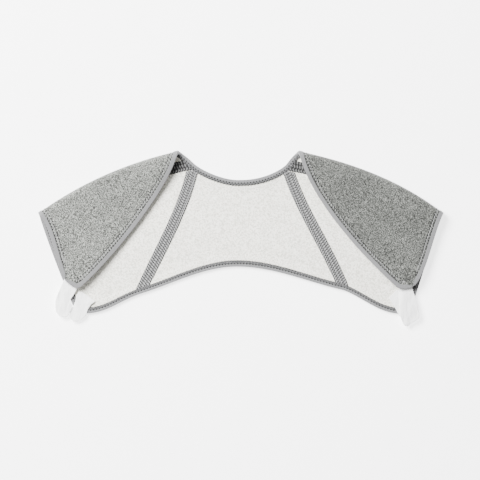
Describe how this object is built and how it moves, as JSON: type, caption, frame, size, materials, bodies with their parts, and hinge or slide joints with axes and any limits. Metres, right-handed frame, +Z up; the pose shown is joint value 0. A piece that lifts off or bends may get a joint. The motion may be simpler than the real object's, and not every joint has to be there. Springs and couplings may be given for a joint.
{
  "type": "shoulder brace",
  "caption": "Shoulder brace of grey knit with a white lining, laid flat, its fronts folded forward over the back.",
  "frame": {"origin": "on the surface under the middle of the back, halfway between the neckline and the hem", "axes": "+Z up from the surface, +Y from the hem to the neckline, +X across the back to the end shown at the right"},
  "size_m": [0.5989, 0.2597, 0.0216],
  "materials": {
    "outer": "heather grey knit",
    "lining": "brushed white knit",
    "binding": "grey elastic with cover stitch",
    "tape": "grey seam tape with slanted stitches",
    "tab": "white hook and loop tape"
  },
  "bodies": {
    "root": {"back_outer_center": "outer", "back_outer_left": "outer", "back_outer_right": "outer", "front_outer_left": "outer", "front_outer_right": "outer", "back_lining_center": "lining", "back_lining_left": "lining", "back_lining_right": "lining", "front_lining_left": "lining", "front_lining_right": "lining", "raglan_tape_left": "tape", "raglan_tape_right": "tape", "shoulder_tape_left": "tape", "shoulder_tape_right": "tape", "neck_binding": "binding", "hem_binding": "binding", "armhole_binding_left": "binding", "armhole_binding_right": "binding", "front_tab_left": "tab", "front_tab_right": "tab", "back_tab_left": "tab", "back_tab_right": "tab"}
  },
  "joints": []
}
